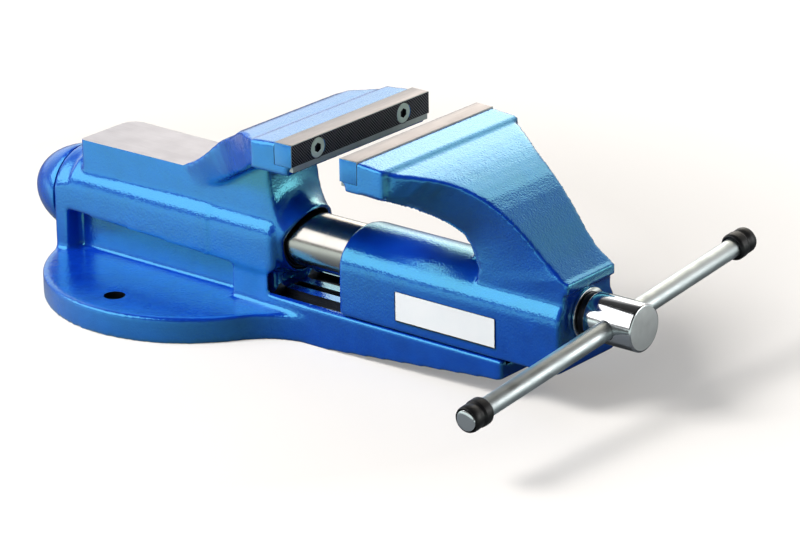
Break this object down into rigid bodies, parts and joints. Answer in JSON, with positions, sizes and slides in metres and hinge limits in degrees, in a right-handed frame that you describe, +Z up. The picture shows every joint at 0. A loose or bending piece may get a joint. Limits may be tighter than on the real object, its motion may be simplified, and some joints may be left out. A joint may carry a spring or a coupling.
{
  "type": "bench vise",
  "caption": "Blue enamelled cast bench vise with parallel steel-plated jaws, a round guide tube, a rear anvil block and a chromed spindle with a sliding handle.",
  "frame": {"origin": "on the underside of the foot, midway between its two bolt holes", "axes": "+X forward along the spindle to the handle, +Y across the jaws to the left as seen from behind the anvil, +Z up from the bench"},
  "size_m": [0.4568, 0.2662, 0.137],
  "materials": {
    "enamel": "glossy hammered enamel on cast iron",
    "hardened_plate": "hardened, cross-hatched grip face",
    "ground_steel": "ground",
    "dark_steel": "oiled",
    "zinc": "satin zinc",
    "chrome": "polished",
    "rubber": "semi-gloss",
    "label": "satin, bare"
  },
  "bodies": {
    "base": {"fixed_body": "enamel", "fixed_jaw_plate": "hardened_plate", "rear_cap": "enamel", "spindle_nut": "dark_steel", "nut_dowel": "dark_steel", "bore_wiper": "rubber", "fixed_plate_screw_near": "zinc", "fixed_plate_screw_far": "zinc", "cap_screw_near": "dark_steel", "cap_screw_far": "dark_steel"},
    "jaw": {"moving_body": "enamel", "moving_jaw_plate": "hardened_plate", "guide_tube": "ground_steel", "guide_lock_pin": "dark_steel", "label_plate": "label", "moving_plate_screw_near": "zinc", "moving_plate_screw_far": "zinc", "thrust_ring": "chrome"},
    "screw": {"spindle": "chrome", "spindle_collar": "dark_steel", "retaining_ring": "dark_steel"},
    "handle": {"handle_bar": "chrome", "handle_ring_near": "rubber", "handle_ring_far": "rubber", "handle_button_near": "chrome", "handle_button_far": "chrome"}
  },
  "joints": [
    {"name": "jaw_slide", "type": "slide", "parent": "base", "child": "jaw", "axis": [1, 0, 0], "range_m": [-0.035, 0.09]},
    {"name": "spindle_turn", "type": "hinge", "parent": "jaw", "child": "screw", "pos_m": [0.32, 0, 0.0543], "axis": [1, 0, 0], "range_deg": [-2520, 6480]},
    {"name": "handle_slide", "type": "slide", "parent": "screw", "child": "handle", "axis": [0, 0.9952, 0.0976], "range_m": [-0.096, 0.108]}
  ],
  "couplings": [
    {"joint": "jaw_slide", "follows": "spindle_turn", "m_per_rad": 0.00079577}
  ]
}
